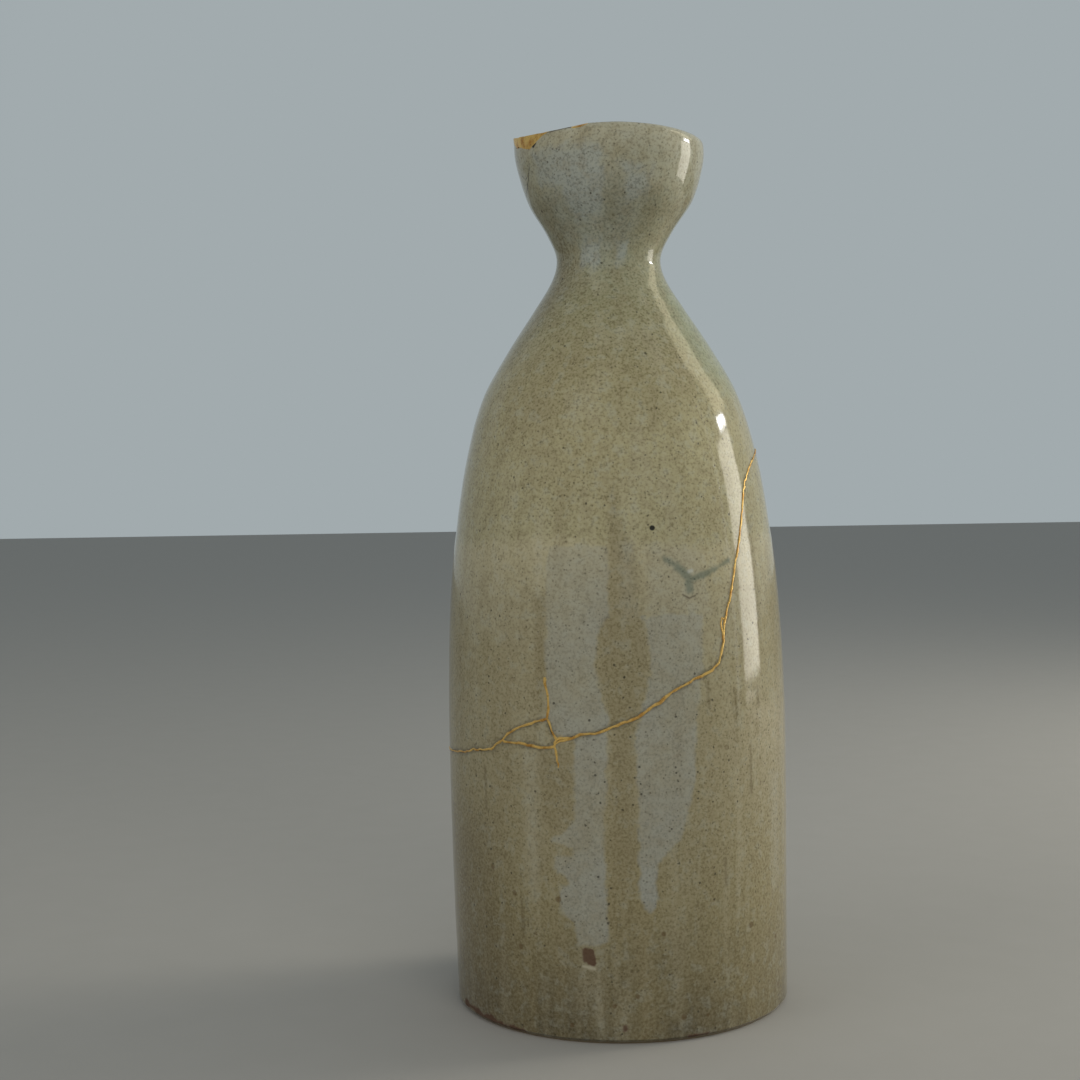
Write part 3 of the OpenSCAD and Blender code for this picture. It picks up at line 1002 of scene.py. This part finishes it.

# %% [markdown]
# The body of the colour runs through a ramp by height, because each dip of glaze has its own
# tone: greyish on the cup, warm on the shoulder, paler under the line where the second dip
# ended, and a thin brown glaze at the foot. The ramp also holds painted shade: its tones are
# darker on the shoulder and much darker towards the foot than the glaze alone. The clouds and
# streaks move the tone about, and each mask lays its own tint over that. The milky glaze is
# thinner near the line where the second dip ended, and here and there.

# %% Glazed stoneware: colour
TONE_WAVER = 16.0
# heights and tones; the dark tones on the shoulder and low down are partly painted shade
TONES_AND_PAINTED_SHADE = [
    (0, "#4C422A"), (12, "#615639"), (40, "#8A7F5B"), (80, "#9A9070"), (125, "#A69D7D"),
    (143.5, "#BDB390"), (147, "#AEA67F"), (175, "#B2A980"), (196, "#9D946B"), (216, "#8F8C67"),
    (230, "#93957A"), (244, "#989981"), (258, "#ABAA95"), (270, "#BAB69F"),
]
wobble = add("Math", cloud, TONE_WAVER, height_mm, operation="MULTIPLY_ADD")
share = add("Math", wobble, HEIGHT + TONE_WAVER, operation="DIVIDE")
ramp = add("ValToRGB", share)
for i, (height, tone) in enumerate(TONES_AND_PAINTED_SHADE):
    spot = (height + TONE_WAVER / 2) / (HEIGHT + TONE_WAVER)
    stop = ramp.color_ramp.elements[i] if i < 2 else ramp.color_ramp.elements.new(spot)
    stop.position = spot
    stop.color = linear(tone)
thin = add("MapRange", wobble, 105.0, 150.0, 1.0, 0.5)
thick = add("MapRange", cloud, 0.32, 0.62, 0.5, 1.0)
milky_here = add("Math", thin, thick, operation="MULTIPLY")
milky_here = add("Math", masks["milky"], milky_here, operation="MULTIPLY")
colour = toned(add, ramp, [
    (cloud, "#8C7F55", 0.4, 0.4, 0.72), (runs, "#8A7C58", 0.45, 0.5, 0.75),
    (runs, "#B9B299", 0.3, 0.46, 0.3), (masks["brown"], "#7B6E4A", 0.5),
    (masks["faint_milky"], "#A8A595", 0.35), (milky_here, "#9C9F9A", 0.8),
    (masks["grey_cloud"], "#8C938C", 0.55), (masks["cup_blue"], "#A2AEB1", 0.52),
    (masks["cup_olive"], "#6F6A4C", 0.42), (masks["green_cloud"], "#8FA083", 0.5),
    # the brown cloud low on the left front is painted shade, the rest is browner glaze
    (masks["brown_cloud_and_painted_shade"], "#57482A", 0.5),
])
print("tones in the ramp:", len(ramp.color_ramp.elements))

# %% [markdown]
# Small marks come next. Specks come in three sizes, each from a Voronoi pattern whose cells
# are as far apart as the specks are, and only the cells with a high random value get one.
# Rust specks are found only low down.

# %% Glazed stoneware: specks
SPECK_SHAKE = 0.6
RUST_ENDS = 120.0
RUST_FULL = 40.0
shaken = add("VectorMath", grain.outputs["Color"], (SPECK_SHAKE,) * 3, mm, operation="MULTIPLY_ADD")


def specks(cell, chance, size, soft):
    """Dots in cells of a width in millimetres; size and soft are shares of that width."""
    cells = add("TexVoronoi", shaken, Scale=1 / cell)
    picked = add("SeparateColor", cells.outputs["Color"]).outputs
    there = add("Math", picked[0], 1 - chance, operation="GREATER_THAN")
    edge = add("Math", picked[1], size, operation="MULTIPLY")
    gap = add("Math", cells, edge, operation="SUBTRACT")
    dot = add("MapRange", gap, soft, 0.0)
    return add("Math", dot, there, operation="MULTIPLY")


iron = specks(2.6, 0.7, 0.12, 0.055)
pepper = specks(1.15, 0.66, 0.22, 0.12)
low_down = add("MapRange", height_mm, RUST_ENDS, RUST_FULL)
rusty = add("Math", specks(7.0, 0.6, 0.11, 0.05), low_down, operation="MULTIPLY")
print("nodes so far:", len(glaze.node_tree.nodes))

# %% [markdown]
# A hairline crack, a teal brush mark, short drips, rusty chips at the foot and a few single
# spots are drawn as strokes, and so is a painted highlight: a small pale glint in the notch of
# the teal mark. The mask is the distance to a line between two places on the wall, with the
# same noise on its edge.

# %% Glazed stoneware: strokes
# each stroke: half its width, how soft its edge is, how far the noise moves it, and its places
DRIPS = [(30.5, 104, 97), (41.5, 101, 94), (53, 101, 95), (48, 84, 70), (-48, 78, 66),
         (-33, 40, 30), (36, 52, 44)]
STROKES = {
    "drips": [(0.35, 0.8, 1.2, (turn, high), (turn + 0.3, low)) for turn, high, low in DRIPS],
    "teal": [
        (0.7, 0.9, 1.6, (17.2, 140.2), (21.5, 137.8)), (1.3, 1.0, 1.6, (21.5, 137.8), (25.6, 134.6)),
        (0.9, 0.8, 1.4, (25.9, 134.2), (33, 135.8)), (0.6, 0.8, 1.2, (33, 135.8), (42.5, 139)),
        (1.1, 0.9, 1.4, (25.3, 135.2), (25.4, 131)),
    ],
    # a painted highlight: a small pale glint in the notch of the teal mark
    "painted_glint": [(0.5, 0.5, 0.6, (25.6, 136.4), (26.6, 136.6))],
    "rust": [
        (0.95, 0.5, 3.4, (-68, 2.7), (-61, 2.3), (-54, 1.9), (-47, 1.7), (-40, 1.2), (-34, 0.9)),
        (0.95, 0.4, 1.7, (-11.5, 27.6), (-11.3, 24.9)),
        (0.95, 0.3, 1.2, (-10.6, 27.0), (-10.1, 24.4)),
        (0.95, 0.3, 1.7, (-9.6, 27.0), (-9.0, 23.9)), (0.8, 0.5, 3.0, (22, 1.1), (28, 1.1)),
        (0.8, 0.5, 3.0, (134, 1.4), (141, 1.0)), (0.7, 0.6, 2.0, (0.7, 5.2), (0.8, 4.6)),
    ],
    "crescent": [(0.5, 0.4, 1.2, (-12.2, 22.9), (-8.6, 22.3))],
    "scar": [(0.3, 0.3, 0.5, (22.9, 129.8), (25.2, 128.7)),
             (0.25, 0.3, 0.5, (25.2, 128.7), (27.4, 129.4))],
    "hairline": [(0.18, 0.2, 0.4, (-56.2, 261.8), (-59.5, 258.3), (-64.5, 255.4), (-70, 253.3),
                  (-80, 251.4))],
    "black": [(0.75, 0.15, 0.0, (13.5, 149.2), (13.6, 149.2)),
              (0.65, 0.25, 0.8, (-51.0, 264.3), (-49.9, 264.9))],
}


def stroke(first, last, half, soft, waver):
    """A mask round the line between two places on the wall, each a turn and a height."""
    a, b = (wall_point(*end) / MM for end in (first, last))
    way = b - a
    apart = add("VectorMath", mm, a, operation="SUBTRACT")
    dot = add("VectorMath", apart, way / way.length_squared, operation="DOT_PRODUCT")
    share = add("Clamp", dot.outputs["Value"])
    spot = add("VectorMath", way, Scale=share, operation="SCALE")
    gap = add("VectorMath", apart, spot, operation="DISTANCE").outputs["Value"]
    return inside_of(add("Math", gap, half, operation="SUBTRACT"), soft, waver)


def any_of(masks):
    both = masks[0]
    for mask in masks[1:]:
        both = add("Math", both, mask, operation="MAXIMUM")
    return both


for name, strokes in STROKES.items():
    found = []
    for half, soft, waver, *places in strokes:
        found += [stroke(a, b, half, soft, waver) for a, b in zip(places, places[1:])]
    masks[name] = any_of(found)
print("masks:", list(masks))

# %% [markdown]
# The milky runs are calmer than the rest, and the upper dip is more mottled. The marks lie
# over the mottle, and the inside of the bottle, the worn rim and the bare foot come last.

# %% Glazed stoneware: marks over the colour
WORN_TOP = 1.3
BARE_FOOT = 0.9
calm = add("MapRange", milky_here, 0.0, 1.0, 1.0, 0.75)
lively = add("MapRange", height_mm, 140.0, 150.0, 0.95, 1.2)
both = add("Math", calm, lively, operation="MULTIPLY")
for pattern, tint, strength, low, high in (
    (mottle, "#7A6C4C", 0.26, 0.48, 0.66), (mottle, "#A7ABA0", 0.24, 0.48, 0.34),
    (grain, "#C9C2A6", 0.24, 0.32, 0.68), (grain, "#5F563C", 0.34, 0.5, 0.34),
):
    part = add("MapRange", pattern, low, high, 0.0, strength)
    amount = add("Math", part, both, operation="MULTIPLY")
    colour = toned(add, colour, [(amount, tint, 1.0)])
rim = add("MapRange", height_mm, HEIGHT - WORN_TOP, HEIGHT - 0.2)
worn = add("Math", rim, wave, operation="MULTIPLY")
bare = add("MapRange", height_mm, BARE_FOOT, 0.2)
depth = add("Attribute", attribute_name="depth").outputs["Fac"]
colour = toned(add, colour, [
    (pepper, "#4C442E", 0.5), (iron, "#2A251A", 0.7), (rusty, "#5C4526", 0.6),
    (masks["drips"], "#5E5034", 0.5), (masks["teal"], "#55665A", 0.6),
    # the pale glint in the teal mark's notch is a painted highlight
    (masks["painted_glint"], "#C9CCC4", 0.55), (masks["stain"], "#4A4638", 0.42),
    (masks["rust"], "#573B2C", 0.85), (masks["crescent"], "#C4BDA6", 0.6),
    (masks["scar"], "#4B3F30", 0.7), (masks["hairline"], "#1E1B15", 0.92),
    (masks["black"], "#14140F", 0.95), (masks["worn_rim"], "#453624", 0.75),
    (depth, "#6B6146", 0.55, 2.0, 4.0), (worn, "#7A6A4A", 0.6), (bare, "#8D7B62", 0.9),
])
print("the glaze has", len(glaze.node_tree.nodes), "nodes so far")

# %% [markdown]
# The melted glass on top is what makes it pottery: a clear, smooth surface over a rougher
# body. It isn't quite flat. Broad dents a few millimetres wide bend the mirrored window, and
# the iron specks are tiny pits. Bare clay at the foot isn't glassy at all.

# %% Glazed stoneware: surface
DENT = 9.0
PEEL = 2.2
THROWING_LINE = 2.5
LINE_STRETCH = (0.12, 0.12, 1)
GLASSY = 0.09
MATT = 0.75
dents = add("TexNoise", mm, Scale=1 / DENT, Detail=2.0)
peel = add("TexNoise", mm, Scale=1 / PEEL, Detail=2.0)
rings = add("VectorMath", mm, LINE_STRETCH, operation="MULTIPLY")
lines = add("TexNoise", rings, Scale=1 / THROWING_LINE, Detail=2.0)
pits = add("Math", iron, -1.0, operation="MULTIPLY")
bent = bumped(add, [(dents, 0.05), (peel, 0.006), (lines, 0.006), (pits, 0.03)])
matt = any_of([bare, masks["rust"], masks["worn_rim"]])
rough = add("MapRange", matt, 0.0, 1.0, GLASSY, MATT)
surface(add, colour, Roughness=rough, IOR=1.5, **bent)
print("the glaze has", len(glaze.node_tree.nodes), "nodes")

# %% [markdown]
# ## Gold dust, lacquer and putty
#
# The gold is real gold powder on lacquer, burnished with a smooth stone. It is a metal, but
# not a mirror: its grain of a few tenths of a millimetre spreads the light as a matt paint
# does, so it isn't set fully metallic. Where the lacquer shows through, it is browner. The
# lacquer in the cracks is a dark reddish brown with a soft shine, and the putty is lacquer
# mixed with clay dust, dull and grainy.

# %% Gold dust
GOLD_GRAIN = 0.35
GOLD_WEAR = 3.0
GOLD_BRUSHED = 1.2
gold, add, mm = new_material("gold_dust_on_lacquer")
dust = add("TexNoise", mm, Scale=1 / GOLD_GRAIN, Detail=3.0)
wear = add("TexNoise", mm, Scale=1 / GOLD_WEAR, Detail=3.0)
brushed = add("TexNoise", mm, Scale=1 / GOLD_BRUSHED, Detail=1.0)
colour = toned(add, linear("#FBD078"), [(wear, "#C78838", 1.0, 0.45, 0.7),
                                         (dust, "#FFE2A0", 0.5, 0.55, 0.75)])
rough = add("MapRange", dust, 0.3, 0.7, 0.24, 0.48)
bent = bumped(add, [(dust, 0.02), (brushed, 0.12)])
surface(add, colour, Roughness=rough, Metallic=0.72, **bent)
print("gold has", len(gold.node_tree.nodes), "nodes")

# %% Lacquer and putty
GRIT_DEPTH = 0.05


def dull_paste(name, main, other, grit, roughness):
    """A paste of lacquer with grit of a size in millimetres in it."""
    material, add, mm = new_material(name)
    fine = add("TexNoise", mm, Scale=1 / grit, Detail=3.0)
    broad = add("TexNoise", mm, Scale=1 / (8 * grit), Detail=2.0)
    colour = toned(add, linear(main), [(broad, other, 0.7, 0.4, 0.65)])
    rough = add("MapRange", fine, 0.3, 0.7, roughness, roughness + 0.15)
    bent = bumped(add, [(fine, GRIT_DEPTH)])
    surface(add, colour, Roughness=rough, IOR=1.5, **bent)
    return material


lacquer = dull_paste("dark_lacquer_glue", "#3A2218", "#24140E", 0.5, 0.35)
putty = dull_paste("clay_dust_putty", "#6A4A36", "#4C3428", 0.4, 0.7)
print(lacquer.name, putty.name)

# %% [markdown]
# ## Dressing the pieces
#
# Each piece gets its material and rides on the body, which is the only one, and the node of
# the frame that it stands for is hidden. It is shaded smooth, but an edge stays sharp where its
# two faces turn by more than SHARP.

# %% Dressing the pieces
SHARP = math.radians(38)
PIECES = [
    (lower_sherd, "lower_sherd", glaze), (upper_sherd, "upper_sherd", glaze),
    (chip_sherd, "chip_sherd", glaze), (ring_lacquer, "ring_glue", lacquer),
    (chip_lacquer, "chip_glue", lacquer), (ring_gold, "ring_gold_line", gold),
    (chip_gold, "chip_gold_line", gold), (upper_gold, "upper_spur_gold_line", gold),
    (lower_gold, "lower_spur_gold_line", gold), (lip_putty, "lip_putty", putty),
    (gold_lip, "lip_gold", gold), (rim_fill, "rim_patch_gold", gold),
]


def soften(bm):
    for face in bm.faces:
        face.smooth = True
        face.material_index = 0
    for edge in bm.edges:
        edge.smooth = len(edge.link_faces) == 2 and edge.calc_face_angle(0) < SHARP


for piece, node, material in PIECES:
    edit(piece, soften)
    piece.data.materials.clear()
    piece.data.materials.append(material)
    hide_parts(node)
    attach(piece, "root")
    print(f"{piece.name}: {len(piece.data.polygons)} faces in {material.name}")

# %% [markdown]
# ## Floor and light
#
# A plain pale floor and a pale room. The glaze mirrors them and a window on the right: a
# broad frosted panel below, a narrow clear one above it that is much brighter, a dim warm one
# over that, and a thin gap nearer the front. Three large soft lights give the rest. They are
# hidden from reflections, so the glaze doesn't show them.

# %% Floor and light
FLOOR_HALF = 4.0
TOOTH_PER_MM = 0.06
bm = bmesh.new()
bmesh.ops.create_grid(bm, x_segments=1, y_segments=1, size=FLOOR_HALF)
floor = to_object(bm, "floor")
floor_material, add, mm = new_material("pale_matt_paint")
tooth = add("TexNoise", mm, Scale=TOOTH_PER_MM, Detail=4.0)
colour = toned(add, linear("#A9A6A0"), [(tooth, "#B1AEA9", 0.5)])
surface(add, colour, Roughness=0.8, IOR=1.45)
floor.data.materials.append(floor_material)


def panel(name, place, size, aim, watts, colour, mirrored):
    """A rectangle of light at a place, turned to aim at a point, all in metres."""
    data = bpy.data.lights.new(name, "AREA")
    data.shape = "RECTANGLE"
    data.size, data.size_y = size
    data.energy = watts
    data.color = linear(colour)[:3]
    lamp = new_object(name, data)
    way = Vector(aim) - Vector(place)
    lamp.matrix_world = Matrix.Translation(place) @ way.to_track_quat("-Z", "Y").to_matrix().to_4x4()
    lamp.visible_glossy = mirrored
    lamp.visible_camera = False


WINDOW_X = 1.0
# name, low and high Y, low and high Z in metres, brightness, colour
WINDOW = [
    ("frosted", 0.08, 0.42, 0.02, 0.5, 4.4, "#F6F1E4"),
    ("clear", 0.22, 0.43, 0.52, 0.575, 24.0, "#FFFFFF"),
    ("upper", 0.23, 0.62, 0.60, 1.37, 1.9, "#F2E6C4"),
    ("gap", -0.06, -0.03, 0.0, 0.75, 1.0, "#F0F2F2"),
]
for name, y0, y1, z0, z1, brightness, colour in WINDOW:
    middle = (WINDOW_X, (y0 + y1) / 2, (z0 + z1) / 2)
    size = (y1 - y0, z1 - z0)
    watts = brightness * size[0] * size[1] * math.pi
    panel("window_" + name, middle, size, (0, middle[1], middle[2]), watts, colour, True)
panel("soft_key", (0.25, -0.9, 0.62), (0.8, 0.6), (0, 0, 0.18), 3.2, "#FFFBF2", False)
panel("soft_fill", (-0.9, -0.6, 0.65), (0.8, 0.8), (0, 0, 0.2), 2.3, "#FBF8F0", False)
panel("soft_side", (0.8, 0.35, 0.34), (0.4, 0.5), (0, 0, 0.16), 2.15, "#FFF9EC", False)

world = bpy.data.worlds.new("pale_room")
world.use_nodes = True
add = adder(world.node_tree)
direction = add("TexCoord").outputs["Generated"]
towards = add("VectorMath", direction, (0.6, 0.8, 0.0), operation="DOT_PRODUCT")
room = toned(add, linear("#80868A"), [(towards.outputs["Value"], "#A2ABAE", 1.0, -0.35, 0.55)])
world.node_tree.links.new(room.outputs[0], world.node_tree.nodes["Background"].inputs["Color"])
bpy.context.scene.world = world
bpy.context.scene.view_settings.view_transform = "Standard"
